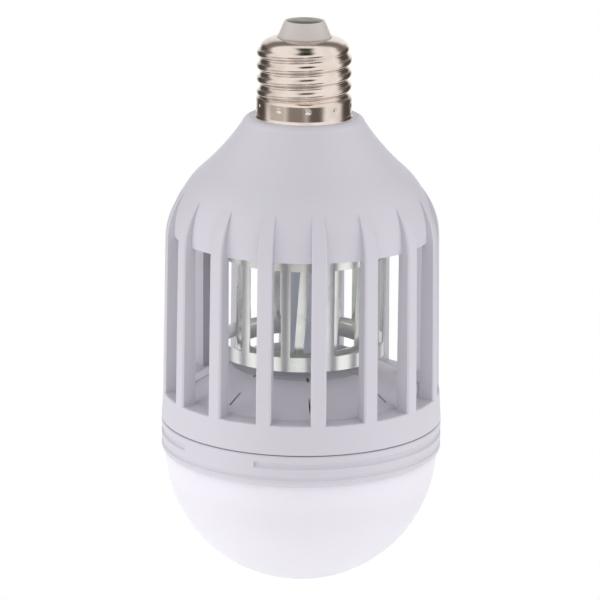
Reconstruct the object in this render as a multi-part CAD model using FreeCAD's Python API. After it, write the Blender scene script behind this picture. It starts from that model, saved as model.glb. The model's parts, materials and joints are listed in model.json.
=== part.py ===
"""Insect killer light bulb: Edison screw cap, ribbed cage round two charged grids, opal light dome.

Millimetres. +Z points out of the cap. The origin is the centre of the cap skirt's lower edge,
where the metal cap meets the neck, so the cage and the dome lie below it.
"""
import FreeCAD, Part
import math
import os

Vector = FreeCAD.Vector
ORIGIN = Vector(0, 0, 0)
UP = Vector(0, 0, 1)

# Edison cap
thread_pitch = 3.629
thread_crest_radius = 13.05
thread_knuckle_radius = 1.025
thread_first_crest = 4.86
thread_start_angle = -120.0
thread_turns = 4.25
thread_runout = 0.85
runout_relief = 0.9
thread_foot = 0.05
shell_wall = 0.35
skirt_step = 0.1
skirt_height = 4.8
skirt_lip = 0.35
skirt_lip_height = 0.5
dimple_count = 10
dimple_radius = 0.75
dimple_depth = 0.35
dimple_level = 3.6
dimple_first_angle = 9.25
shoulder_level = 19.5
shoulder_top_width = 0.5
shoulder_bulge = 0.7
shell_top = 22.2
shell_mouth_radius = 7.4
insulator_height = 4.2
insulator_tip_radius = 5.5
insulator_flange = 1.3
insulator_thickness = 2.4
contact_radius = 5.0
contact_rise = 0.45
contact_recess = 0.3
contact_flat_radius = 2.2
contact_bulge = 0.12
rivet_radius = 1.1

# cage housing
housing_wall = 2.2
neck_radius = 15.2
neck_edge_width = 1.75
neck_edge_bulge = 0.33
spigot_height = 9.0
spigot_wall = 1.5
waist_inset = 6.9
waist_level = -15.4
waist_hollow = 0.62
window_top = -33.0
window_height = 44.6
lip_inset = 2.25
shell_bulge = 2.15
rib_count = 16
rib_width = 4.3
rib_depth = 3.6
rib_draft = 5.6
rib_edge = 0.5
rib_setback = 0.7
rib_crown_drop = 1.0
rib_start_rise = 12.2
rib_first_angle = 11.25
ring_radius = 39.2
ring_height = 8.4
ring_draft = 0.45
ring_wall = 1.8
sill_edge = 0.4
guide_inset = 6.2
seam_gap = 0.25
boss_radius = 2.2
boss_count = 4

# lower body
floor_clearance = 0.15
floor_wall = 1.8
floor_rise = 7.5
plateau_inset = 3.4
slit_count = 8
slit_width = 0.75
slit_first_angle = 9.25
inner_slit_reach = 3.0
inner_slit_length = 3.5
outer_slit_reach = 5.8
outer_slit_length = 4.7
grip_height = 8.5
grip_wall = 2.2
grip_edge_radius = 0.8
web_thickness = 2.0
upper_groove_drop = 2.75
upper_groove_width = 1.85
upper_groove_depth = 0.55
lower_groove_drop = 6.2
lower_groove_width = 1.4
lower_groove_depth = 0.35
pad_angle = -32.6
pad_span = 35.7
board_post_reach = 3.0
board_post_count = 3

# light dome and lamp board
dome_step = 1.0
dome_seat = 0.3
dome_wall = 1.6
led_board_thickness = 1.6
led_length = 3.5
led_width = 2.8
led_height = 0.8
outer_led_count = 16
outer_led_reach = 4.0
inner_led_count = 8
inner_led_inset = 9.0

# grids
sheet = 0.5
chamber_width = 9.6
grid_spacing = 5.1
grid_bars = 12
outer_bar_width = 2.6
inner_bar_width = 2.6
outer_bar_first_angle = -6.75
inner_bar_first_angle = 4.25
inner_bar_lean = 3.8
grid_band = 4.0
grid_window_top_drop = 5.5
grid_gap = 3.4
tab_width = 4.0
tab_count = 3
tab_reach = 1.5

# grid holder, tube and driver
holder_thickness = 2.0
holder_collar_depth = 3.0
holder_collar_wall = 1.5
holder_post_inset = 4.6
holder_post_angle = 45.0
holder_post_count = 4
tube_radius = 5.2
tube_wall = 0.9
tube_socket_wall = 1.8
tube_socket_depth = 3.5
lead_hole_radius = 3.4
uv_board_width = 7.4
uv_board_thickness = 1.0
uv_led_count = 4
driver_board_gap = 0.35
driver_board_thickness = 1.6
driver_board_level = -23.4
driver_post_inset = 3.5
driver_post_count = 3
driver_post_angle = 30.0
capacitor_radius = 4.0
capacitor_height = 12.0
core_length = 14.0
core_width = 6.0
core_height = 11.0
winding_width = 11.0
film_capacitor_length = 9.0
film_capacitor_width = 4.0
film_capacitor_height = 8.0
film_capacitor_count = 3
film_capacitor_gap = 0.6
diode_radius = 1.3
diode_length = 5.0
diode_count = 4
diode_gap = 0.3
wire_radius = 0.5
wire_bend = 4.0
live_lead_top_bend = -1.0
live_lead_low_bend = -12.0

# places on the driver board, as shares of its radius
capacitor_place = (0.5, -0.3)
core_place = (0.0, 0.35)
film_capacitor_place = (-0.35, -0.62)
diode_place = (-0.36, 0.64)
live_lead_place = 0.31

# fasteners and fits
screw_radius = 1.0
screw_head_radius = 1.9
screw_head_height = 1.3
screw_grip = 6.0
screw_clearance = 0.05
post_wall = 1.6
fit_clearance = 0.1

# radii and levels that several pieces share
post_radius = screw_radius + screw_clearance + post_wall
skirt_radius = thread_crest_radius + skirt_step
ring_sill_radius = ring_radius - ring_draft
rib_crown_radius = ring_sill_radius - rib_setback
rib_inner_radius = rib_crown_radius - rib_depth
shell_lip_radius = rib_crown_radius - lip_inset
waist_radius = shell_lip_radius - waist_inset
guide_radius = ring_radius - guide_inset
floor_radius = guide_radius - floor_clearance
outer_grid_radius = guide_radius - chamber_width
inner_grid_radius = outer_grid_radius - grid_spacing
plateau_radius = outer_grid_radius - plateau_inset
board_post_circle = plateau_radius + board_post_reach
outer_led_circle = board_post_circle + outer_led_reach
inner_led_circle = board_post_circle - inner_led_inset
holder_post_circle = shell_lip_radius - housing_wall - holder_post_inset
driver_board_radius = holder_post_circle - post_radius - driver_board_gap
driver_post_circle = driver_board_radius - driver_post_inset
dome_radius = ring_radius - dome_step
window_bottom = window_top - window_height
seam_level = window_bottom - ring_height
plateau_level = window_bottom + floor_rise
grip_bottom = seam_level - grip_height
web_bottom = seam_level - web_thickness
dome_centre = grip_bottom + dome_seat
led_board_bottom = web_bottom - led_board_thickness
holder_bottom = window_top
holder_top = holder_bottom + holder_thickness
grid_bottom = plateau_level + grid_gap
tube_bottom = plateau_level - tube_socket_depth
driver_board_bottom = driver_board_level - driver_board_thickness
contact_seat = shell_top + insulator_height - contact_recess


def at(radius, level):
    """A point of a turned outline, in the plane of +X and +Z."""
    return Vector(radius, 0, level)


def outline(start, *moves):
    """A closed face in the XZ plane. A move is an end point, or (middle, end) for an arc."""
    edges = []
    here = start
    for move in moves + (start,):
        if isinstance(move, tuple):
            middle, end = move
            edges.append(Part.Arc(here, middle, end).toShape())
        else:
            end = move
            if (end - here).Length > 1e-6:
                edges.append(Part.makeLine(here, end))
        here = end
    return Part.Face(Part.Wire(edges))


def turned(face, degrees=360):
    return face.revolve(ORIGIN, UP, degrees)


def turned_to(shape, degrees):
    """A copy of the shape turned about the lamp's axis."""
    copy = shape.copy()
    copy.rotate(ORIGIN, UP, degrees)
    return copy


def pattern(shape, count, first_angle):
    """Copies of the shape, evenly spaced round the axis. Angles run from -Y, towards +X."""
    return [turned_to(shape, first_angle - 90 + 360.0 * i / count) for i in range(count)]


def cylinder(radius, bottom, top, x=0.0, y=0.0):
    return Part.makeCylinder(radius, top - bottom, Vector(x, y, bottom))


def block(x_size, y_size, z_size, x, y, bottom):
    """A block centred on (x, y) that stands on the level bottom."""
    corner = Vector(x - x_size / 2, y - y_size / 2, bottom)
    return Part.makeBox(x_size, y_size, z_size, corner)


def arc_offset(start, middle, end, distance):
    """The three points of an arc moved square to it, away from its centre when positive."""
    circle = Part.Arc(start, middle, end).toShape().Curve
    centre = circle.Center
    scale = (circle.Radius + distance) / circle.Radius
    return [centre + (point - centre) * scale for point in (start, middle, end)]


def bulged_middle(start, end, bulge):
    """The middle point of an arc that stands off its chord by bulge, to the left of its run."""
    chord = end - start
    square = Vector(-chord.z, 0, chord.x)
    square.normalize()
    return (start + end) * 0.5 + square * bulge


def wire_run(points, bend):
    """A round wire along straight runs joined by tangent arcs."""
    edges = []
    here = points[0]
    for corner, after in zip(points[1:-1], points[2:]):
        back = (here - corner).normalize()
        ahead = (after - corner).normalize()
        half_turn = (math.pi - back.getAngle(ahead)) / 2
        setback = bend * math.tan(half_turn)
        entry = corner + back * setback
        leave = corner + ahead * setback
        inward = (back + ahead).normalize()
        middle = corner + inward * (bend / math.cos(half_turn) - bend)
        edges.append(Part.makeLine(here, entry))
        edges.append(Part.Arc(entry, middle, leave).toShape())
        here = leave
    edges.append(Part.makeLine(here, points[-1]))
    path = Part.Wire(edges)
    section = Part.Wire(Part.makeCircle(wire_radius, points[0], points[1] - points[0]))
    return path.makePipeShell([section], True, False)


def screw(head_under, up, x, y):
    """A pan-head screw whose head bears on the level head_under; its shank points up or down."""
    way = 1 if up else -1
    shank = Part.makeCylinder(screw_radius, screw_grip, Vector(x, y, head_under), UP * way)
    head = Part.makeCylinder(screw_head_radius, screw_head_height, Vector(x, y, head_under), UP * -way)
    rim = [edge for edge in head.Edges if abs(edge.CenterOfMass.z - head_under) > screw_head_height / 2]
    round_rim = [edge for edge in rim if edge.Length > 1 and len(edge.Vertexes) == 1]
    head = head.makeChamfer(screw_head_height / 3, round_rim)
    return shank.fuse(head).removeSplitter()


def pilot(level, x, y, up=True):
    """The hole that a screw cuts its thread in, from the level of the joint."""
    depth = screw_grip + fit_clearance
    way = 1 if up else -1
    return Part.makeCylinder(screw_radius + screw_clearance, depth, Vector(x, y, level), UP * way)


def on_circle(radius, degrees):
    angle = math.radians(degrees - 90)
    return radius * math.cos(angle), radius * math.sin(angle)


def circle_places(radius, count, first_angle):
    return [on_circle(radius, first_angle + 360.0 * i / count) for i in range(count)]


def united(shape, others):
    return shape.fuse(others).removeSplitter()


driver_posts = circle_places(driver_post_circle, driver_post_count, driver_post_angle)
holder_posts = circle_places(holder_post_circle, holder_post_count, holder_post_angle)
ring_boss_circle = ring_radius - grip_wall - screw_head_radius - fit_clearance
ring_bosses = circle_places(ring_boss_circle, boss_count, rib_first_angle)
board_posts = circle_places(board_post_circle, board_post_count, 0)


def knuckle(inset):
    """Half of the rolled thread's wave, from crest to root, drawn in by inset."""
    half_pitch = thread_pitch / 2
    rise = math.sqrt((2 * thread_knuckle_radius) ** 2 - half_pitch ** 2)
    crest_centre = thread_crest_radius - thread_knuckle_radius
    root_centre = crest_centre + rise
    crest_round = thread_knuckle_radius - inset
    root_round = thread_knuckle_radius + inset
    tangent = math.atan2(half_pitch, rise)
    points = [at(crest_centre + crest_round * math.cos(tangent * step), crest_round * math.sin(tangent * step))
              for step in (0, 0.5, 1)]
    points += [at(root_centre - root_round * math.cos(tangent * step),
                  half_pitch - root_round * math.sin(tangent * step))
               for step in (0.5, 0.06)]
    return points


def root_radius(inset):
    """The core that the thread stands on, just above the wave's lowest point."""
    lowest = knuckle(inset)[-1].x
    return lowest + thread_foot


def threaded(core, inset, turns):
    """The core with the thread wound on it for that many turns, right-handed, with rounded ends."""
    upper = knuckle(inset)
    lower = [at(point.x, -point.z) for point in reversed(upper[1:])]
    inner = root_radius(inset) - 2 * shell_wall
    loop = [at(inner, upper[-1].z)] + list(reversed(upper)) + list(reversed(lower)) + [at(inner, lower[0].z)]
    profile = Part.makePolygon(loop + loop[:1])
    winding = Part.makeLongHelix(thread_pitch, thread_pitch * turns, root_radius(inset))
    ridge = Part.Wire(winding.Edges).makePipeShell([profile], True, True)
    half = Part.Face(Part.makePolygon([at(inner, 0)] + upper + [at(inner, upper[-1].z), at(inner, 0)]))
    end_cap = half.revolve(ORIGIN, Vector(1, 0, 0), 360)
    last_cap = turned_to(end_cap, 360 * turns)
    last_cap.translate(UP * thread_pitch * turns)
    start_level = thread_first_crest + thread_pitch * thread_start_angle / 360
    envelope = thread_envelope(inset)
    pieces = []
    for piece in (ridge, end_cap, last_cap):
        piece = turned_to(piece, thread_start_angle)
        piece.translate(UP * start_level)
        pieces.append(piece.common(envelope))
    return core.fuse(pieces)


def thread_envelope(inset):
    """The room that the thread keeps to: it runs out under a cone that stands off the shoulder."""
    beyond = 2 * thread_crest_radius
    cone_top = shell_top - inset
    mouth = at(shell_mouth_radius + shoulder_top_width + runout_relief, cone_top)
    foot = at(root_radius(inset) + runout_relief, shoulder_level)
    slope = (cone_top - foot.z) / (foot.x - mouth.x)
    low = at(beyond, foot.z - (beyond - foot.x) * slope)
    return turned(outline(at(0, low.z), low, mouth, at(0, cone_top)))


def shell_core(inset, mouth_radius, bottom):
    """The turned body of the screw shell, its skirt, its root cylinder and its shoulder."""
    root = root_radius(inset)
    skirt = skirt_radius - inset
    knee = thread_knuckle_radius
    top = shell_top - inset
    shoulder_start = at(root, shoulder_level)
    shoulder_end = at(shell_mouth_radius + shoulder_top_width, top)
    bulge = shoulder_bulge - inset
    round_over = bulged_middle(shoulder_start, shoulder_end, -bulge)
    face = outline(at(0, bottom), at(skirt, bottom), at(skirt, skirt_height - inset),
                   at(root, skirt_height + knee - inset), shoulder_start, (round_over, shoulder_end),
                   at(mouth_radius, top), at(0, top))
    return turned(face)


def make_screw_shell():
    outside = threaded(shell_core(0, shell_mouth_radius, 0), 0, thread_turns)
    inside = threaded(shell_core(shell_wall, shell_mouth_radius, -1), shell_wall, thread_turns - thread_runout)
    mouth = cylinder(shell_mouth_radius, shoulder_level, shell_top + 1)
    shell = outside.cut([inside, mouth])
    lip = turned(outline(at(skirt_radius - shell_wall, 0), at(skirt_radius + skirt_lip, 0),
                         at(skirt_radius, skirt_lip_height), at(skirt_radius - shell_wall, skirt_lip_height)))
    shell = shell.fuse(lip)
    inward = Vector(-1, 0, 0)
    mouth = at(skirt_radius + dimple_depth, dimple_level)
    punch = Part.makeCone(2 * dimple_radius, dimple_radius / 4, 2 * dimple_depth, mouth, inward)
    backing = Part.makeCone(dimple_radius * 1.5, dimple_radius / 2, shell_wall * 1.5,
                            at(skirt_radius - shell_wall / 2, dimple_level), inward)
    shell = shell.fuse(pattern(backing, dimple_count, dimple_first_angle))
    return shell.cut(pattern(punch, dimple_count, dimple_first_angle))


def make_cap_insulator():
    inside_top = shell_top - shell_wall
    cone_foot = shell_mouth_radius - fit_clearance
    bore = wire_radius + fit_clearance
    tip_bevel = insulator_tip_radius - contact_radius
    tip = shell_top + insulator_height
    flange_radius = shell_mouth_radius + insulator_flange
    seat_radius = shell_mouth_radius + shoulder_top_width
    face = outline(at(bore, inside_top - insulator_thickness), at(flange_radius, inside_top - insulator_thickness),
                   at(flange_radius, inside_top - flange_radius + seat_radius), at(seat_radius, inside_top),
                   at(cone_foot, inside_top), at(cone_foot, shell_top),
                   at(insulator_tip_radius + tip_bevel, tip - 2 * tip_bevel),
                   at(insulator_tip_radius, tip), at(contact_radius, tip), at(contact_radius, contact_seat),
                   at(bore, contact_seat))
    insulator = turned(face)
    return insulator.cut(cylinder(rivet_radius, contact_seat - insulator_thickness, tip))


def make_centre_contact():
    rim = contact_seat + contact_recess
    edge = at(contact_radius, rim)
    crown = at(contact_flat_radius, rim + contact_rise)
    rivet_foot = contact_seat - insulator_thickness / 2
    face = outline(at(0, rivet_foot), at(rivet_radius, rivet_foot), at(rivet_radius, contact_seat),
                   at(contact_radius, contact_seat), edge, (bulged_middle(crown, edge, contact_bulge), crown),
                   at(0, crown.z))
    return turned(face)


def shoulder_arcs(inset):
    """The two arcs of the domed shoulder, from the neck to the waist and on to the shell's lip."""
    neck = at(neck_radius + neck_edge_width, -neck_edge_width)
    waist = at(waist_radius, waist_level)
    lip = at(shell_lip_radius, window_top)
    flare = arc_offset(neck, bulged_middle(neck, waist, -waist_hollow), waist, inset)
    dome = arc_offset(waist, bulged_middle(waist, lip, shell_bulge), lip, -inset)
    return flare, dome


def shoulder_skin():
    """The wall of the neck and the shoulder, open towards the cage."""
    flare, dome = shoulder_arcs(0)
    inner_flare, inner_dome = shoulder_arcs(housing_wall)
    spigot_radius = root_radius(shell_wall) - fit_clearance
    collar_radius = skirt_radius - shell_wall - fit_clearance
    bore = spigot_radius - spigot_wall
    edge = bulged_middle(at(neck_radius, 0), flare[0], neck_edge_bulge)
    collar_top = dimple_level - dimple_radius - shell_wall - fit_clearance
    return outline(at(bore, spigot_height), at(spigot_radius, spigot_height), at(spigot_radius, collar_top),
                   at(collar_radius, collar_top), at(collar_radius, 0), at(neck_radius, 0),
                   (edge, flare[0]), (flare[1], flare[2]), (dome[1], dome[2]),
                   at(inner_dome[2].x, window_top), (inner_dome[1], inner_dome[0]), inner_flare[2],
                   (inner_flare[1], inner_flare[0]), at(bore, inner_flare[0].z))


def cage_rib():
    """One rib, leaving the shoulder below its waist and running down to the base ring.

    Its swell runs smoothly into its front. Its sides draw in towards the axis.
    """
    start = shoulder_point(window_top + rib_start_rise)
    crown = at(rib_crown_radius, window_top - rib_crown_drop)
    foot = at(ring_sill_radius, window_bottom)
    root = window_bottom - ring_wall / 2
    chord = crown - start
    swell = chord.Length / 2 * math.tan(chord.getAngle(foot - crown) / 2)
    face = outline(start, (bulged_middle(start, crown, swell), crown), foot, at(foot.x, root),
                   at(rib_inner_radius, root), at(rib_inner_radius, window_top),
                   at(shell_lip_radius - housing_wall / 2, window_top), at(start.x - housing_wall / 2, start.z))
    rib = face.extrude(Vector(0, rib_width, 0))
    rib.translate(Vector(0, -rib_width / 2, 0))
    outer = [edge for edge in rib.Edges if joins(edge, start, crown) or joins(edge, crown, foot)]
    rib = rib.makeChamfer(rib_edge, outer)
    trim = beside_rib()
    return rib.cut([trim, trim.mirror(ORIGIN, Vector(0, 1, 0))])


def shoulder_point(level):
    """The point of the shoulder's skin at a level below the waist."""
    dome = Part.Arc(*shoulder_arcs(0)[1])
    across = Part.makeLine(at(0, level), at(ring_radius, level))
    return dome.toShape().distToShape(across)[1][0][0]


def beside_rib():
    """The block that trims one side of a rib to its width and draft."""
    size = 2 * ring_sill_radius
    low = window_bottom - ring_height
    trim = Part.makeBox(size, size, -low, Vector(rib_width - size, 0, low))
    trim.rotate(ORIGIN, UP, rib_draft)
    trim.translate(Vector(ring_sill_radius, rib_width / 2, 0))
    return trim


def joins(edge, start, end):
    """Whether an edge runs between the radii and levels of two points of a rib's outline."""
    ends = {(round(vertex.X, 3), round(vertex.Z, 3)) for vertex in edge.Vertexes}
    return ends == {(round(point.x, 3), round(point.z, 3)) for point in (start, end)}


def base_ring():
    """The channel-shaped ring that carries the ribs' feet; its inner wall guides the lower body."""
    side = at(ring_radius, seam_level + seam_gap)
    return outline(at(guide_radius, window_bottom), at(ring_sill_radius - sill_edge, window_bottom),
                   (at(ring_sill_radius - sill_edge * 0.3, window_bottom - sill_edge * 0.3),
                    at(ring_sill_radius, window_bottom - sill_edge)),
                   side + UP * seam_gap, side - Vector(seam_gap, 0, 0),
                   at(ring_radius - housing_wall, side.z), at(ring_radius - housing_wall, window_bottom - ring_wall),
                   at(guide_radius + ring_wall, window_bottom - ring_wall),
                   at(guide_radius + ring_wall, seam_level), at(guide_radius, seam_level))


def hanging_posts(places, bottom):
    """Screw posts that hang from the shoulder's inner skin down to a level."""
    outer = turned(shoulder_envelope(housing_wall / 2))
    return [cylinder(post_radius, bottom, 0, x, y).common(outer) for x, y in places]


def shoulder_envelope(inset):
    """The solid of the shoulder without its hollow."""
    flare, dome = shoulder_arcs(inset)
    return outline(at(0, flare[0].z), flare[0], (flare[1], flare[2]), dome[0], (dome[1], dome[2]),
                   at(0, dome[2].z))


def ring_boss(x, y):
    """A screw boss in the base ring's channel, kept clear of the guide's bore."""
    top = window_bottom - ring_wall / 2
    return cylinder(boss_radius, seam_level, top, x, y).cut(cylinder(guide_radius, seam_level, top))


def make_cage_housing():
    skin = turned(shoulder_skin())
    ribs = pattern(cage_rib(), rib_count, rib_first_angle)
    ring = turned(base_ring())
    posts = hanging_posts(driver_posts, driver_board_level) + hanging_posts(holder_posts, holder_top)
    bosses = [ring_boss(x, y) for x, y in ring_bosses]
    housing = united(skin, ribs + [ring] + posts + bosses)
    pilots = [pilot(driver_board_level, x, y) for x, y in driver_posts]
    pilots += [pilot(holder_top, x, y) for x, y in holder_posts]
    pilots += [pilot(seam_level, x, y) for x, y in ring_bosses]
    return housing.cut(pilots)


def floor_section():
    """Grooved ring, web, spigot, sloped floor, plateau and tube socket in one outline."""
    socket_bore = tube_radius + fit_clearance
    socket_radius = socket_bore + tube_socket_wall
    slope_wall = floor_wall / math.cos(math.atan2(floor_rise, floor_radius - plateau_radius))
    inner_radius = floor_radius - floor_wall
    slope = floor_rise / (floor_radius - plateau_radius)
    inner_top = window_bottom + floor_wall * slope - slope_wall
    return outline(at(ring_radius - seam_gap, seam_level), at(ring_radius, seam_level - seam_gap),
                   at(ring_radius, grip_bottom + grip_edge_radius),
                   (at(ring_radius - grip_edge_radius * 0.3, grip_bottom + grip_edge_radius * 0.3),
                    at(ring_radius - grip_edge_radius, grip_bottom)),
                   at(ring_radius - grip_wall, grip_bottom), at(ring_radius - grip_wall, web_bottom),
                   at(inner_radius, web_bottom), at(inner_radius, inner_top),
                   at(plateau_radius, plateau_level - slope_wall), at(socket_radius, plateau_level - slope_wall),
                   at(socket_radius, tube_bottom - floor_wall), at(lead_hole_radius, tube_bottom - floor_wall),
                   at(lead_hole_radius, tube_bottom), at(socket_bore, tube_bottom), at(socket_bore, plateau_level),
                   at(plateau_radius, plateau_level), at(floor_radius, window_bottom), at(floor_radius, seam_level))


def soft_groove(drop, width, depth):
    """The section of a rounded groove in the grip ring."""
    level = seam_level - drop
    top = at(ring_radius, level + width / 2)
    low = at(ring_radius, level - width / 2)
    beyond = Vector(depth, 0, 0)
    return outline(top, (at(ring_radius - depth, level), low), low + beyond, top + beyond)


def slit(start, length):
    return block(length, slit_width, floor_rise * 3, start + length / 2, 0, window_bottom - floor_rise)


def make_lower_body():
    body = turned(floor_section())
    posts = []
    for x, y in board_posts:
        post = cylinder(post_radius, web_bottom, plateau_level, x, y)
        posts.append(post.common(turned(floor_envelope())))
    body = united(body, posts)
    groove = turned(soft_groove(upper_groove_drop, upper_groove_width, upper_groove_depth), 180 - pad_span)
    cuts = pattern(groove, 2, pad_angle + pad_span / 2)
    cuts.append(turned(soft_groove(lower_groove_drop, lower_groove_width, lower_groove_depth)))
    cuts += pattern(slit(plateau_radius - inner_slit_reach, inner_slit_length), slit_count, slit_first_angle)
    cuts += pattern(slit(plateau_radius + outer_slit_reach, outer_slit_length), slit_count, slit_first_angle)
    cuts += [pilot(web_bottom, x, y) for x, y in board_posts]
    cuts += [screw_hole(x, y) for x, y in ring_bosses]
    return body.cut(cuts)


def floor_envelope():
    """The solid under the sloped floor, down to the web."""
    inner = floor_radius - floor_wall
    half_wall = at(0, -floor_wall / 2)
    return outline(at(0, web_bottom), at(inner, web_bottom), at(inner, window_bottom) + half_wall,
                   at(plateau_radius, plateau_level) + half_wall, at(0, plateau_level) + half_wall)


def screw_hole(x, y):
    """A clearance hole through the web."""
    return cylinder(screw_radius + fit_clearance, web_bottom - fit_clearance, seam_level + fit_clearance, x, y)


def make_diffuser_dome():
    rim = ring_radius - grip_wall - floor_clearance
    rim_top = led_board_bottom - floor_clearance
    inner = dome_radius - dome_wall
    inner_rim = rim - dome_wall
    tangent_level = dome_centre - math.sqrt(inner ** 2 - inner_rim ** 2)
    brim = math.sqrt(dome_radius ** 2 - dome_seat ** 2)
    face = outline(at(0, dome_centre - dome_radius), (dome_middle(dome_radius, brim), at(brim, grip_bottom)),
                   at(rim, grip_bottom), at(rim, rim_top), at(inner_rim, rim_top), at(inner_rim, tangent_level),
                   (dome_middle(inner, inner_rim), at(0, dome_centre - inner)))
    return turned(face)


def dome_middle(radius, brim):
    """The point half-way along the dome's arc, from its pole to the brim."""
    half_turn = math.asin(brim / radius) / 2
    return at(radius * math.sin(half_turn), dome_centre - radius * math.cos(half_turn))


def make_led_board():
    board = cylinder(ring_radius - grip_wall - floor_clearance, led_board_bottom, web_bottom)
    holes = [cylinder(screw_radius + fit_clearance, led_board_bottom, web_bottom, x, y) for x, y in board_posts]
    holes += [cylinder(screw_head_radius + fit_clearance, led_board_bottom, web_bottom, x, y)
              for x, y in ring_bosses]
    return board.cut(holes)


def led_ring(count, circle, first_angle):
    led = block(led_width, led_length, led_height, circle, 0, led_board_bottom - led_height)
    return pattern(led, count, first_angle)


def make_white_leds():
    leds = led_ring(outer_led_count, outer_led_circle, 180.0 / outer_led_count)
    return Part.makeCompound(leds + led_ring(inner_led_count, inner_led_circle, 0))


def rolled_grid(radius, bar_width, first_angle, lean):
    """A drum of sheet metal with upright windows, and tabs that pass through the holder."""
    drum = cylinder(radius, grid_bottom, holder_bottom).cut(cylinder(radius - sheet, grid_bottom, holder_bottom))
    low = grid_bottom + grid_band
    high = window_top - grid_window_top_drop
    pitch = 2 * math.pi * radius / grid_bars
    half = (pitch - bar_width) / 2
    shift = math.tan(math.radians(lean)) * (high - low) / 2
    flat = radius * math.sin(half / radius)
    corners = [(-flat - shift, low), (flat - shift, low), (flat + shift, high), (-flat + shift, high)]
    loop = [Vector(radius / 2, y, z) for y, z in corners]
    window = Part.Face(Part.makePolygon(loop + loop[:1])).extrude(Vector(radius, 0, 0))
    drum = drum.cut(pattern(window, grid_bars, first_angle + 180.0 / grid_bars))
    reach = holder_thickness + tab_reach
    tab = block(radius, tab_width, reach + sheet, radius, 0, holder_bottom - sheet)
    tube = cylinder(radius, holder_bottom - sheet, holder_bottom + reach)
    wall = tube.cut(cylinder(radius - sheet, holder_bottom - sheet, holder_bottom + reach))
    return united(drum, [tab.common(wall) for tab in pattern(tab, tab_count, first_angle)])


def make_outer_grid():
    return rolled_grid(outer_grid_radius, outer_bar_width, outer_bar_first_angle, 0)


def make_inner_grid():
    return rolled_grid(inner_grid_radius, inner_bar_width, inner_bar_first_angle, inner_bar_lean)


def tab_slot(radius):
    """The slot in the holder that a grid's tab passes through."""
    deep = sheet + 2 * fit_clearance + tab_width ** 2 / (8 * radius)
    middle = radius - deep / 2 + fit_clearance
    return block(deep, tab_width + 2 * fit_clearance, holder_thickness, middle, 0, holder_bottom)


def make_grid_holder():
    socket_bore = tube_radius + fit_clearance
    disc = cylinder(floor_radius, holder_bottom, holder_top)
    collars = []
    for radius in (outer_grid_radius, inner_grid_radius):
        outside = radius - sheet - fit_clearance
        collar = cylinder(outside, holder_bottom - holder_collar_depth, holder_bottom)
        collars.append(collar.cut(cylinder(outside - holder_collar_wall, collar.BoundBox.ZMin, holder_bottom)))
    socket = cylinder(socket_bore + tube_socket_wall, holder_bottom - tube_socket_depth, holder_bottom)
    holder = united(disc, collars + [socket])
    cuts = [cylinder(socket_bore, holder_bottom - tube_socket_depth, holder_bottom),
            cylinder(lead_hole_radius, holder_bottom, holder_top)]
    cuts += pattern(tab_slot(outer_grid_radius), tab_count, outer_bar_first_angle)
    cuts += pattern(tab_slot(inner_grid_radius), tab_count, inner_bar_first_angle)
    cuts += [cylinder(screw_radius + fit_clearance, holder_bottom, holder_top, x, y) for x, y in holder_posts]
    return holder.cut(cuts)


def make_uv_tube():
    tube = cylinder(tube_radius, tube_bottom, holder_bottom)
    return tube.cut(cylinder(tube_radius - tube_wall, tube_bottom, holder_bottom))


def make_uv_led_board():
    height = holder_bottom - tube_bottom
    return block(uv_board_width, uv_board_thickness, height, 0, 0, tube_bottom)


def make_uv_leds():
    """Emitters on both faces of the strip, spread over the grids' windows."""
    low = grid_bottom + grid_band
    high = window_top - grid_window_top_drop
    leds = []
    for i in range(uv_led_count):
        middle = low + (high - low) * (i + 0.5) / uv_led_count
        for side in (-1, 1):
            y = side * (uv_board_thickness + led_height) / 2
            leds.append(block(led_length, led_height, led_width, 0, y, middle - led_width / 2))
    return Part.makeCompound(leds)


def on_board(place):
    """A place on the driver board, from its shares of the board's radius."""
    return tuple(share * driver_board_radius for share in place)


def make_driver_board():
    board = cylinder(driver_board_radius, driver_board_bottom, driver_board_level)
    holes = [cylinder(screw_radius + fit_clearance, driver_board_bottom, driver_board_level, x, y)
             for x, y in driver_posts]
    return board.cut(holes)


def make_step_up_transformer():
    """A ferrite core of two E shapes, closed face to face."""
    x, y = on_board(core_place)
    core = block(core_length, core_width, core_height, x, y, driver_board_level)
    leg = core_length / 6
    window_height = core_height - 2 * leg
    for side in (-1, 1):
        window = block(leg * 1.5, core_width, window_height, x + side * leg * 1.5, y, driver_board_level + leg)
        core = core.cut(window)
    return core


def make_transformer_winding():
    x, y = on_board(core_place)
    leg = core_length / 6
    height = core_height - 2 * leg
    bottom = driver_board_level + leg
    coil = block(leg * 4.2, winding_width, height, x, y, bottom)
    upright = [edge for edge in coil.Edges if abs(edge.Vertexes[0].Z - edge.Vertexes[1].Z) > height / 2]
    coil = coil.makeFillet(leg * 0.9, upright)
    hole = block(leg * 1.5 + fit_clearance, core_width + fit_clearance, height, x, y, bottom)
    return coil.cut(hole)


def make_electrolytic_capacitor():
    x, y = on_board(capacitor_place)
    can = cylinder(capacitor_radius, driver_board_level, driver_board_level + capacitor_height, x, y)
    rims = [edge for edge in can.Edges if len(edge.Vertexes) == 1 and edge.Length > capacitor_radius]
    return can.makeChamfer(capacitor_radius / 8, rims)


def make_film_capacitors():
    parts = []
    x, first_y = on_board(film_capacitor_place)
    for i in range(film_capacitor_count):
        y = first_y + i * (film_capacitor_width + film_capacitor_gap)
        box = block(film_capacitor_length, film_capacitor_width, film_capacitor_height, x, y, driver_board_level)
        parts.append(box.makeChamfer(film_capacitor_width / 8, box.Edges))
    return Part.makeCompound(parts)


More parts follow.
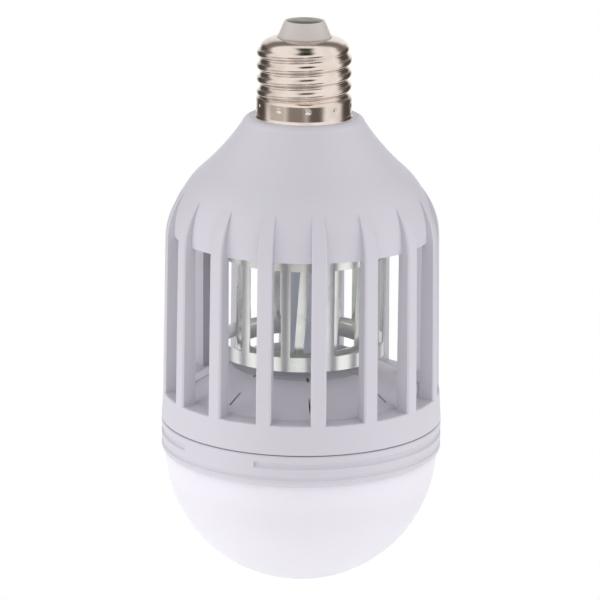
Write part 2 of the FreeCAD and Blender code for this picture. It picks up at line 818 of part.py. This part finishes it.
def make_rectifier_diodes():
    parts = []
    first_x, y = on_board(diode_place)
    for i in range(diode_count):
        x = first_x + i * (2 * diode_radius + diode_gap)
        corner = Vector(x, y, driver_board_level + diode_radius)
        parts.append(Part.makeCylinder(diode_radius, diode_length, corner, Vector(0, 1, 0)))
    return Part.makeCompound(parts)


def make_live_lead():
    top = contact_seat - insulator_thickness / 2
    landing = live_lead_place * driver_board_radius
    points = [at(0, top), at(0, live_lead_top_bend), at(landing, live_lead_low_bend),
              at(landing, driver_board_level)]
    return wire_run(points, wire_bend)


def make_neutral_lead():
    touch = math.sqrt(root_radius(shell_wall) ** 2 - wire_radius ** 2)
    level = spigot_height + fit_clearance + wire_radius
    inside = touch - fit_clearance - spigot_wall - fit_clearance - wire_radius
    points = [Vector(-touch, 0, level), Vector(-inside, 0, level), Vector(-inside, 0, driver_board_level)]
    return wire_run(points, wire_radius * 1.5)


def make_grid_leads():
    """Risers from one tab of each grid to the underside of the driver board."""
    parts = []
    for radius, angle in ((outer_grid_radius, outer_bar_first_angle), (inner_grid_radius, inner_bar_first_angle)):
        x, y = on_circle(radius - sheet / 2, angle)
        parts.append(cylinder(wire_radius, holder_top + tab_reach, driver_board_bottom, x, y))
    return Part.makeCompound(parts)


def make_lamp_leads():
    y = uv_board_thickness / 2 + led_height + fit_clearance + wire_radius * 2
    wires = [cylinder(wire_radius, web_bottom, driver_board_bottom, side * wire_radius * 2, y) for side in (-1, 1)]
    return Part.makeCompound(wires)


def screws(places, level, up):
    return Part.makeCompound([screw(level, up, x, y) for x, y in places])


sub_parts = {
    "screw_shell": make_screw_shell,
    "cap_insulator": make_cap_insulator,
    "centre_contact": make_centre_contact,
    "cage_housing": make_cage_housing,
    "live_lead": make_live_lead,
    "neutral_lead": make_neutral_lead,
    "driver_board": make_driver_board,
    "step_up_transformer": make_step_up_transformer,
    "transformer_winding": make_transformer_winding,
    "electrolytic_capacitor": make_electrolytic_capacitor,
    "film_capacitors": make_film_capacitors,
    "rectifier_diodes": make_rectifier_diodes,
    "driver_board_screws": lambda: screws(driver_posts, driver_board_bottom, True),
    "grid_holder": make_grid_holder,
    "holder_screws": lambda: screws(holder_posts, holder_bottom, True),
    "outer_grid": make_outer_grid,
    "inner_grid": make_inner_grid,
    "grid_leads": make_grid_leads,
    "uv_tube": make_uv_tube,
    "uv_led_board": make_uv_led_board,
    "uv_leds": make_uv_leds,
    "lamp_leads": make_lamp_leads,
    "lower_body": make_lower_body,
    "body_screws": lambda: screws(ring_bosses, web_bottom, True),
    "led_board": make_led_board,
    "led_board_screws": lambda: screws(board_posts, led_board_bottom, True),
    "white_leds": make_white_leds,
    "diffuser_dome": make_diffuser_dome,
}

os.makedirs("parts", exist_ok=True)
for node, make in sub_parts.items():
    make().exportStep(f"parts/{node}.step")
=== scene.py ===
"""Looks of the insect killer light bulb, in metres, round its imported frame.

+Z points out of the screw cap along the lamp's axis. The origin is the centre of the cap skirt's
lower edge. Angles round the axis run from -Y towards +X, as seen from the photograph's side.
"""
import bpy
import json
import math
from mathutils import Matrix, Vector


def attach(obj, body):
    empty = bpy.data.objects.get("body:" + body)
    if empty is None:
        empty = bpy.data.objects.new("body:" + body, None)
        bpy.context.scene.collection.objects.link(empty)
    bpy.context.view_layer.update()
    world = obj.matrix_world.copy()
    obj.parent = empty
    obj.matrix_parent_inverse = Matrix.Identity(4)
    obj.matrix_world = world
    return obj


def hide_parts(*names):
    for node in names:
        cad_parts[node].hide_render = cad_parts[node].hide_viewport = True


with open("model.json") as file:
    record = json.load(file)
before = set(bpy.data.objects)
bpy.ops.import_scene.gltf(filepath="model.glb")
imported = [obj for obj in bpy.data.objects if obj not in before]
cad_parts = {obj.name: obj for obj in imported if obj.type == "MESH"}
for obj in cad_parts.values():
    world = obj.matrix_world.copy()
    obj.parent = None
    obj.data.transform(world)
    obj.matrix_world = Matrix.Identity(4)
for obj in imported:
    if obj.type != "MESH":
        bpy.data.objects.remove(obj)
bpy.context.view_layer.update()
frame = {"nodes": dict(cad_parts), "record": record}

MM = 0.001
AXIS = (0, 0, 1)
CENTRE = (0, 0, 0)

# camera of the photograph
camera_angle = 4.25
camera_reach = 0.900
camera_height = 0.187
camera_pitch = 14.9
camera_yaw = 0.039
camera_roll = 0.5
camera_lens = 200.4
sensor_width = 36.0

# studio: levels are plain, and colours of cards are linear light
world_fill = 0.90
floor_size = 8.0
floor_level = -1.0
floor_bounce = 0.85
side_box_reach = 1.1
side_box_height = -0.15
side_box_size = (0.7, 1.2)
low_box_size = (0.9, 0.9)
lit_point = (0, 0, -50 * MM)
card_reach = 0.16
card_fade = 0.3
card_colour = (0.09, 0.075, 0.065, 1)
overhead_colour = (0.03, 0.024, 0.02, 1)
table_colour = (0.26, 0.23, 0.21, 1)
side_table_colour = (0.58, 0.55, 0.53, 1)
corner_colour = (0.12, 0.1, 0.09, 1)
ceiling_colour = (0.22, 0.2, 0.19, 1)

# Edison thread, rolled into the shell
thread_pitch = 3.629 * MM
thread_crest_radius = 13.05 * MM
thread_knuckle_radius = 1.176 * MM
thread_first_crest = 4.86 * MM
thread_fade_start = 3.55
thread_fade_end = 4.2
shell_wall = 0.35 * MM
skirt_radius = 13.15 * MM
skirt_height = 4.8 * MM
skirt_lip = 0.35 * MM
skirt_lip_height = 0.62 * MM
skirt_bend = 0.5 * MM
thread_floor_start = 6.0 * MM
thread_entry = 4.2 * MM
shoulder_level = 18.9 * MM
shoulder_rise = 1.6 * MM
shoulder_radius = 7.75 * MM
shoulder_pull = (11.95 * MM, 21.2 * MM)
shell_top = 21.95 * MM
shell_mouth_radius = 7.4 * MM
shell_mouth_fold = 0.2 * MM
skirt_rings = 24
bend_rings = 8
thread_rings = 96
shoulder_rings = 24
dimple_count = 10
dimple_first_angle = 9.25
dimple_level = 3.6 * MM
dimple_radius = 0.8 * MM
dimple_depth = 0.42 * MM
thread_steps = 240


def srgb(red, green, blue):
    """A display colour in 0-255 as linear light."""
    def linear(value):
        share = value / 255
        return share / 12.92 if share <= 0.04045 else ((share + 0.055) / 1.055) ** 2.4
    return linear(red), linear(green), linear(blue), 1.0


def clear_selection():
    if bpy.context.object and bpy.context.object.mode != "OBJECT":
        bpy.ops.object.mode_set(mode="OBJECT")
    bpy.ops.object.select_all(action="DESELECT")


def start_line(name, point):
    """A one-vertex mesh at a point, in edit mode, ready to be extruded along a profile."""
    clear_selection()
    bpy.ops.mesh.primitive_plane_add(size=MM, location=point)
    piece = bpy.context.object
    piece.name = name
    bpy.ops.object.transform_apply(location=True, rotation=False, scale=False)
    bpy.ops.object.mode_set(mode="EDIT")
    bpy.ops.mesh.select_all(action="SELECT")
    bpy.ops.mesh.merge(type="CENTER")
    return piece


def turned_piece(name, profile, steps):
    """Walk a vertex along the (radius, level) profile, then spin it round the lamp's axis."""
    piece = start_line(name, (profile[0][0], 0, profile[0][1]))
    for (radius, level), (next_radius, next_level) in zip(profile, profile[1:]):
        move = (next_radius - radius, 0, next_level - level)
        bpy.ops.mesh.extrude_vertices_move(TRANSFORM_OT_translate={"value": move})
    bpy.ops.mesh.select_all(action="SELECT")
    bpy.ops.mesh.spin(steps=steps, angle=2 * math.pi, center=CENTRE, axis=AXIS)
    bpy.ops.mesh.select_all(action="SELECT")
    bpy.ops.mesh.remove_doubles(threshold=0.002 * MM)
    bpy.ops.mesh.normals_make_consistent(inside=False)
    bpy.ops.object.mode_set(mode="OBJECT")
    return piece


def arc_points(start, centre_of_bulge, end, count):
    """Points of a smooth curve from start to end that is drawn towards a control point."""
    points = []
    for i in range(count + 1):
        t = i / count
        weights = ((1 - t) ** 2, 2 * t * (1 - t), t * t)
        points.append(tuple(sum(w * p[axis] for w, p in zip(weights, (start, centre_of_bulge, end)))
                            for axis in (0, 1)))
    return points


def finish_piece(piece, slot, angle=40):
    """Smooth the shading under an angle, and give the piece its body and its record slot."""
    clear_selection()
    piece.select_set(True)
    bpy.context.view_layer.objects.active = piece
    bpy.ops.object.shade_smooth_by_angle(angle=math.radians(angle))
    piece.data.materials.clear()
    piece.data.materials.append(finishes[slot])
    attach(piece, "root")
    return piece


def thread_wave(share):
    """Height of the rolled wave at a share of the pitch from its crest, from two knuckle arcs."""
    away = abs((share + 0.5) % 1.0 - 0.5) * thread_pitch
    knuckle = thread_knuckle_radius
    rise = math.sqrt((2 * knuckle) ** 2 - (thread_pitch / 2) ** 2)
    if away < thread_pitch / 4:
        return math.sqrt(knuckle ** 2 - away ** 2) - knuckle
    return rise - knuckle - math.sqrt(knuckle ** 2 - (thread_pitch / 2 - away) ** 2)


def smooth_step(value, low, high):
    share = min(max((value - low) / (high - low), 0.0), 1.0)
    return share * share * (3 - 2 * share)


def root_drop():
    return -thread_wave(0.5)


def screw_shell_profile():
    """Lip, plain skirt, thread zone and domed shoulder of the shell, from the bottom up."""
    root = thread_crest_radius - root_drop()
    profile = [(skirt_radius + skirt_lip, 0), (skirt_radius + skirt_lip * 0.9, 0.2 * MM),
               (skirt_radius + skirt_lip * 0.35, 0.42 * MM), (skirt_radius, skirt_lip_height)]
    for i in range(1, skirt_rings + 1):
        rise = (skirt_height - skirt_lip_height) * i / skirt_rings
        profile.append((skirt_radius, skirt_lip_height + rise))
    profile += arc_points(profile[-1], (skirt_radius, skirt_height + skirt_bend),
                          (root, thread_floor_start), bend_rings)[1:]
    for i in range(1, thread_rings + 1):
        rise = (shoulder_level - thread_floor_start) * i / thread_rings
        profile.append((root, thread_floor_start + rise))
    profile += arc_points((root, shoulder_level), shoulder_pull, (shoulder_radius, shell_top),
                          shoulder_rings)[1:]
    profile += [(shell_mouth_radius + shell_wall, shell_top),
                (shell_mouth_radius, shell_top - shell_mouth_fold)]
    return profile


def rolled_screw_shell():
    """The cap's thin shell, with the thread rolled into it and dimples punched in its skirt.

    Each point of the turned skin is moved in or out: by the wave of the nearest crest, which fades
    at the thread's end and on the shoulder, and by the dimple that it lies in.
    """
    shell = turned_piece("rolled_screw_shell", screw_shell_profile(), thread_steps)
    root = thread_crest_radius - root_drop()
    for vertex in shell.data.vertices:
        place = vertex.co
        angle = math.degrees(math.atan2(place.x, -place.y))
        radius = math.hypot(place.x, place.y)
        height = place.z
        new_radius = radius
        if thread_entry < height < shell_top - shell_mouth_fold:
            turns = (height - thread_first_crest) / thread_pitch
            crest = round(turns - (angle - 90) / 360)
            along = crest + (angle - 90) / 360
            strength = 1 - smooth_step(along, thread_fade_start, thread_fade_end)
            strength *= 1 - smooth_step(height, shoulder_level, shoulder_level + shoulder_rise)
            stand = (thread_wave(turns - along) + root_drop()) * strength
            on_bend = height < thread_floor_start
            new_radius = max(radius, root + stand) if on_bend else radius + stand
        if height < skirt_height:
            for i in range(dimple_count):
                gap = (angle - dimple_first_angle - 360 * i / dimple_count + 180) % 360 - 180
                distance = math.hypot(math.radians(gap) * skirt_radius, height - dimple_level)
                if distance < dimple_radius:
                    new_radius -= dimple_depth * (1 - smooth_step(distance, 0, dimple_radius))
        scale = new_radius / radius
        place.x *= scale
        place.y *= scale
    thicken(shell, shell_wall)
    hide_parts("screw_shell")
    return finish_piece(shell, "nickel_plate", 60)


def thicken(piece, wall):
    """Give a skin its wall, inwards."""
    clear_selection()
    piece.select_set(True)
    bpy.context.view_layer.objects.active = piece
    solid = piece.modifiers.new("wall", "SOLIDIFY")
    solid.thickness = wall
    solid.offset = -1
    bpy.ops.object.modifier_apply(modifier=solid.name)


def new_group(name, inputs, outputs):
    """A shader node group with named sockets."""
    group = bpy.data.node_groups.new(name, "ShaderNodeTree")
    for label, kind, value in inputs:
        socket = group.interface.new_socket(name=label, in_out="INPUT", socket_type=kind)
        socket.default_value = value
    for label, kind in outputs:
        group.interface.new_socket(name=label, in_out="OUTPUT", socket_type=kind)
    inside = group.nodes.new("NodeGroupInput")
    outside = group.nodes.new("NodeGroupOutput")
    return group, inside, outside


grain_depth = 0.02 * MM
surface_outputs = [("Colour", "NodeSocketColor"), ("Roughness", "NodeSocketFloat"),
                   ("Height", "NodeSocketFloat")]


def moulded_skin_group():
    """Moulded plastic: faint cloudy tone, fine spark-eroded grain and slightly uneven gloss."""
    group, inside, outside = new_group(
        "moulded skin",
        [("Colour", "NodeSocketColor", (0.7, 0.7, 0.7, 1)),
         ("Shade", "NodeSocketColor", (0.6, 0.6, 0.65, 1)),
         ("Gloss", "NodeSocketFloat", 0.4)],
        surface_outputs)
    nodes, links = group.nodes, group.links
    place = nodes.new("ShaderNodeTexCoord")
    cloud = nodes.new("ShaderNodeTexNoise")
    cloud.inputs["Scale"].default_value = 45
    cloud.inputs["Detail"].default_value = 4
    grain = nodes.new("ShaderNodeTexNoise")
    grain.inputs["Scale"].default_value = 2600
    grain.inputs["Detail"].default_value = 2
    for texture in (cloud, grain):
        links.new(place.outputs["Object"], texture.inputs["Vector"])
    tone = nodes.new("ShaderNodeMapRange")
    tone.inputs["From Min"].default_value = 0.35
    tone.inputs["From Max"].default_value = 0.75
    tone.inputs["To Max"].default_value = 0.35
    links.new(cloud.outputs["Fac"], tone.inputs["Value"])
    blend = nodes.new("ShaderNodeMix")
    blend.data_type = "RGBA"
    links.new(tone.outputs["Result"], blend.inputs["Factor"])
    links.new(inside.outputs["Colour"], blend.inputs["A"])
    links.new(inside.outputs["Shade"], blend.inputs["B"])
    uneven = nodes.new("ShaderNodeMath")
    uneven.operation = "MULTIPLY_ADD"
    uneven.inputs[1].default_value = 0.12
    links.new(cloud.outputs["Fac"], uneven.inputs[0])
    links.new(inside.outputs["Gloss"], uneven.inputs[2])
    links.new(blend.outputs["Result"], outside.inputs["Colour"])
    links.new(uneven.outputs["Value"], outside.inputs["Roughness"])
    links.new(grain.outputs["Fac"], outside.inputs["Height"])
    return group


def worn_metal_group():
    """Plated or rolled metal: smudges that dull the gloss, and a trace of tarnish."""
    group, inside, outside = new_group(
        "worn metal",
        [("Colour", "NodeSocketColor", (0.8, 0.8, 0.8, 1)),
         ("Tarnish", "NodeSocketColor", (0.4, 0.35, 0.3, 1)),
         ("Gloss", "NodeSocketFloat", 0.15), ("Smudge", "NodeSocketFloat", 0.2),
         ("Grain", "NodeSocketFloat", 900)],
        surface_outputs)
    nodes, links = group.nodes, group.links
    place = nodes.new("ShaderNodeTexCoord")
    smudge = nodes.new("ShaderNodeTexNoise")
    smudge.inputs["Scale"].default_value = 160
    smudge.inputs["Detail"].default_value = 5
    fine = nodes.new("ShaderNodeTexNoise")
    fine.inputs["Detail"].default_value = 3
    for texture in (smudge, fine):
        links.new(place.outputs["Object"], texture.inputs["Vector"])
    links.new(inside.outputs["Grain"], fine.inputs["Scale"])
    mask = nodes.new("ShaderNodeMapRange")
    mask.inputs["From Min"].default_value = 0.45
    mask.inputs["From Max"].default_value = 0.8
    links.new(smudge.outputs["Fac"], mask.inputs["Value"])
    dull = nodes.new("ShaderNodeMath")
    dull.operation = "MULTIPLY_ADD"
    links.new(mask.outputs["Result"], dull.inputs[0])
    links.new(inside.outputs["Smudge"], dull.inputs[1])
    links.new(inside.outputs["Gloss"], dull.inputs[2])
    share = nodes.new("ShaderNodeMath")
    share.operation = "MULTIPLY"
    share.inputs[1].default_value = 0.4
    links.new(mask.outputs["Result"], share.inputs[0])
    blend = nodes.new("ShaderNodeMix")
    blend.data_type = "RGBA"
    links.new(share.outputs["Value"], blend.inputs["Factor"])
    links.new(inside.outputs["Colour"], blend.inputs["A"])
    links.new(inside.outputs["Tarnish"], blend.inputs["B"])
    links.new(blend.outputs["Result"], outside.inputs["Colour"])
    links.new(dull.outputs["Value"], outside.inputs["Roughness"])
    links.new(fine.outputs["Fac"], outside.inputs["Height"])
    return group


def dressed(name, group, values, bump, metallic=0.0):
    """A material whose colour, gloss and bump come from a group with its own values."""
    material = bpy.data.materials.new(name)
    material.use_nodes = True
    nodes, links = material.node_tree.nodes, material.node_tree.links
    surface = nodes["Principled BSDF"]
    surface.inputs["Metallic"].default_value = metallic
    effect = nodes.new("ShaderNodeGroup")
    effect.node_tree = group
    for label, value in values.items():
        effect.inputs[label].default_value = value
    relief = nodes.new("ShaderNodeBump")
    relief.inputs["Strength"].default_value = bump
    relief.inputs["Distance"].default_value = grain_depth
    links.new(effect.outputs["Colour"], surface.inputs["Base Color"])
    links.new(effect.outputs["Roughness"], surface.inputs["Roughness"])
    links.new(effect.outputs["Height"], relief.inputs["Height"])
    links.new(relief.outputs["Normal"], surface.inputs["Normal"])
    return material


moulded = moulded_skin_group()
metal = worn_metal_group()


def plastic(name, colour, shade, gloss=0.38, bump=0.12):
    values = {"Colour": srgb(*colour), "Shade": srgb(*shade), "Gloss": gloss}
    return dressed(name, moulded, values, bump)


def metallic(name, colour, tarnish, gloss, smudge, grain=900, bump=0.1):
    values = {"Colour": srgb(*colour), "Tarnish": srgb(*tarnish), "Gloss": gloss,
              "Smudge": smudge, "Grain": grain}
    return dressed(name, metal, values, bump, metallic=1.0)


def opal_plastic():
    material = plastic("opal_diffuser", (237, 233, 245), (234, 230, 242), gloss=0.42, bump=0.05)
    surface = material.node_tree.nodes["Principled BSDF"]
    surface.inputs["Specular IOR Level"].default_value = 0.15
    surface.inputs["Subsurface Weight"].default_value = 0.5
    surface.inputs["Subsurface Radius"].default_value = (1.0, 1.0, 1.0)
    surface.inputs["Subsurface Scale"].default_value = 6 * MM
    return material


finishes = {
    "white_moulding": plastic("white_moulding", (206, 203, 212), (201, 198, 208)),
    "inner_moulding": plastic("inner_moulding", (205, 203, 211), (198, 196, 205), gloss=0.5),
    "opal_diffuser": opal_plastic(),
    "cap_insulator": plastic("cap_insulator", (200, 193, 189), (193, 186, 181), gloss=0.3),
    "nickel_plate": metallic("nickel_plate", (233, 220, 210), (150, 132, 118), 0.16, 0.08,
                             bump=0.03),
    "contact_metal": metallic("contact_metal", (156, 148, 138), (120, 113, 105), 0.35, 0.2),
    "grid_sheet": metallic("grid_sheet", (240, 242, 238), (214, 217, 212), 0.24, 0.06),
    "screw_steel": metallic("screw_steel", (180, 180, 182), (120, 118, 115), 0.3, 0.2),
    "tube_plastic": plastic("tube_plastic", (222, 226, 238), (214, 218, 232), gloss=0.25),
    "lead_insulation": plastic("lead_insulation", (190, 40, 35), (160, 30, 28)),
    "circuit_board": plastic("circuit_board", (38, 96, 60), (30, 78, 50)),
    "aluminium_board": plastic("aluminium_board", (236, 237, 236), (226, 228, 228)),
    "ferrite": plastic("ferrite", (52, 52, 56), (40, 40, 44), gloss=0.55),
    "winding": plastic("winding", (205, 170, 60), (180, 145, 45)),
    "capacitor_sleeve": plastic("capacitor_sleeve", (40, 44, 60), (30, 34, 48)),
    "film_capacitor": plastic("film_capacitor", (150, 60, 40), (130, 50, 34)),
    "diode_body": plastic("diode_body", (36, 36, 38), (28, 28, 30)),
    "led_package": plastic("led_package", (240, 230, 170), (232, 220, 150)),
}


def dress_frame():
    """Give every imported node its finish."""
    slots = {part["node"]: part["material_slot"] for part in frame["record"]["subparts"]}
    for node, piece in frame["nodes"].items():
        piece.data.materials.clear()
        piece.data.materials.append(finishes[slots[node]])


def seen_directly(nodes, links):
    """One for the rays that see the surroundings: camera, glossy and transmission rays."""
    path = nodes.new("ShaderNodeLightPath")
    total = None
    for kind in ("Is Camera Ray", "Is Glossy Ray", "Is Transmission Ray"):
        if total is None:
            total = path.outputs[kind]
            continue
        either = nodes.new("ShaderNodeMath")
        either.operation = "MAXIMUM"
        links.new(total, either.inputs[0])
        links.new(path.outputs[kind], either.inputs[1])
        total = either.outputs["Value"]
    return total


def light_world():
    """White for the eye and for reflections, and a softer white fill for the light on the lamp."""
    world = bpy.data.worlds.new("white studio")
    bpy.context.scene.world = world
    world.use_nodes = True
    nodes, links = world.node_tree.nodes, world.node_tree.links
    nodes.clear()
    fill = nodes.new("ShaderNodeBackground")
    fill.inputs["Color"].default_value = (1, 1, 1, 1)
    fill.inputs["Strength"].default_value = world_fill
    white = nodes.new("ShaderNodeBackground")
    white.inputs["Color"].default_value = (1, 1, 1, 1)
    choose = nodes.new("ShaderNodeMixShader")
    out = nodes.new("ShaderNodeOutputWorld")
    links.new(seen_directly(nodes, links), choose.inputs["Fac"])
    links.new(fill.outputs["Background"], choose.inputs[1])
    links.new(white.outputs["Background"], choose.inputs[2])
    links.new(choose.outputs["Shader"], out.inputs["Surface"])


def pale_floor():
    """A plain floor well below the hanging lamp: it bounces light and looks white."""
    clear_selection()
    bpy.ops.mesh.primitive_plane_add(size=floor_size, location=(0, 0, floor_level))
    floor = bpy.context.object
    floor.name = "pale_floor"
    material = bpy.data.materials.new("pale_floor")
    material.use_nodes = True
    nodes, links = material.node_tree.nodes, material.node_tree.links
    nodes.clear()
    bounce = nodes.new("ShaderNodeBsdfDiffuse")
    bounce.inputs["Color"].default_value = (floor_bounce, floor_bounce, floor_bounce, 1)
    white = nodes.new("ShaderNodeEmission")
    white.inputs["Strength"].default_value = 1.0
    choose = nodes.new("ShaderNodeMixShader")
    out = nodes.new("ShaderNodeOutputMaterial")
    links.new(seen_directly(nodes, links), choose.inputs["Fac"])
    links.new(bounce.outputs["BSDF"], choose.inputs[1])
    links.new(white.outputs["Emission"], choose.inputs[2])
    links.new(choose.outputs["Shader"], out.inputs["Surface"])
    floor.data.materials.append(material)


def fading_edge(nodes, links):
    """One in the middle of a plane of unit size, and less and less towards its four edges."""
    place = nodes.new("ShaderNodeTexCoord")
    parts = nodes.new("ShaderNodeSeparateXYZ")
    links.new(place.outputs["Object"], parts.inputs["Vector"])
    both = nodes.new("ShaderNodeMath")
    both.operation = "MULTIPLY"
    for i, side in enumerate(("X", "Y")):
        away = nodes.new("ShaderNodeMath")
        away.operation = "ABSOLUTE"
        links.new(parts.outputs[side], away.inputs[0])
        fade = nodes.new("ShaderNodeMapRange")
        fade.interpolation_type = "SMOOTHSTEP"
        fade.inputs["From Min"].default_value = 0.5
        fade.inputs["From Max"].default_value = 0.5 - card_fade
        links.new(away.outputs["Value"], fade.inputs["Value"])
        links.new(fade.outputs["Result"], both.inputs[i])
    return both.outputs["Value"]


def dark_card(name, angle, elevation, width, height, colour):
    """A dark card for the metal to reflect. It stands at an angle round the lamp and faces the cap.

    Its width and height are the angles that it fills, with soft edges. Neither the camera nor soft
    light sees it.
    """
    clear_selection()
    bpy.ops.mesh.primitive_plane_add(size=1, location=CENTRE)
    card = bpy.context.object
    card.name = name
    turn, tilt = math.radians(angle), math.radians(elevation)
    level_reach = math.cos(tilt)
    way = Vector((math.sin(turn) * level_reach, -math.cos(turn) * level_reach, math.sin(tilt)))
    card.location = way * card_reach + Vector((0, 0, shell_top / 2))
    card.rotation_euler = (-way).to_track_quat("Z", "Y").to_euler()
    card.scale = (2 * card_reach * math.tan(math.radians(width / 2)),
                  2 * card_reach * math.tan(math.radians(height / 2)), 1)
    material = bpy.data.materials.new(name)
    material.use_nodes = True
    nodes, links = material.node_tree.nodes, material.node_tree.links
    nodes.clear()
    dark = nodes.new("ShaderNodeEmission")
    dark.inputs["Color"].default_value = colour
    clear = nodes.new("ShaderNodeBsdfTransparent")
    choose = nodes.new("ShaderNodeMixShader")
    out = nodes.new("ShaderNodeOutputMaterial")
    links.new(fading_edge(nodes, links), choose.inputs["Fac"])
    links.new(clear.outputs["BSDF"], choose.inputs[1])
    links.new(dark.outputs["Emission"], choose.inputs[2])
    links.new(choose.outputs["Shader"], out.inputs["Surface"])
    card.data.materials.append(material)
    card.visible_camera = False
    card.visible_diffuse = False
    card.visible_transmission = False
    card.visible_shadow = False


def softbox(name, angle, reach, height, size, power):
    """An area lamp that stands round the lamp at an angle and faces it."""
    light = bpy.data.lights.new(name, "AREA")
    light.shape = "RECTANGLE"
    light.size, light.size_y = size
    light.energy = power
    lamp = bpy.data.objects.new(name, light)
    bpy.context.scene.collection.objects.link(lamp)
    turn = math.radians(angle)
    place = Vector((reach * math.sin(turn), -reach * math.cos(turn), height))
    lamp.location = place
    lamp.rotation_euler = (Vector(lit_point) - place).to_track_quat("-Z", "Y").to_euler()
    lamp.visible_camera = False
    lamp.visible_glossy = False


def photo_camera():
    """The photograph's view: far off with a long lens, looking down a little."""
    data = bpy.data.cameras.new("photo_camera")
    data.lens = camera_lens
    data.sensor_width = sensor_width
    data.clip_start = 0.05
    data.clip_end = 50
    camera = bpy.data.objects.new("photo_camera", data)
    bpy.context.scene.collection.objects.link(camera)
    turn = math.radians(camera_angle)
    camera.location = (camera_reach * math.sin(turn), -camera_reach * math.cos(turn), camera_height)
    heading = turn + math.radians(camera_yaw)
    pitch = math.radians(camera_pitch)
    look = Vector((-math.sin(heading) * math.cos(pitch), math.cos(heading) * math.cos(pitch),
                   -math.sin(pitch)))
    aim = look.to_track_quat("-Z", "Y").to_matrix()
    roll = Matrix.Rotation(math.radians(camera_roll), 3, "Z")
    camera.rotation_euler = (aim @ roll).to_euler()
    bpy.context.scene.camera = camera


dress_frame()
rolled_screw_shell()
light_world()
pale_floor()
softbox("left_softbox", -78, side_box_reach, side_box_height, side_box_size, 3.6)
softbox("right_softbox", 84, side_box_reach, side_box_height, side_box_size, 2.9)
softbox("low_softbox", -6, 0.35, -0.75, low_box_size, 1.5)
dark_card("overhead_card", camera_angle + 5, 76, 34, 52, overhead_colour)
dark_card("near_card", camera_angle + 4, -55, 60, 26, corner_colour)
dark_card("table_card", camera_angle - 18, -17, 60, 36, table_colour)
dark_card("side_table_card", camera_angle - 66, -17, 60, 36, side_table_colour)
dark_card("corner_card", camera_angle + 27, -15, 50, 32, corner_colour)
dark_card("rear_left_card", camera_angle - 124, -2, 68, 80, card_colour)
dark_card("rear_right_card", camera_angle + 124, -2, 68, 80, card_colour)
dark_card("rear_top_card", camera_angle + 180, 48, 130, 44, ceiling_colour)
photo_camera()
scene = bpy.context.scene
scene.view_settings.view_transform = "Standard"
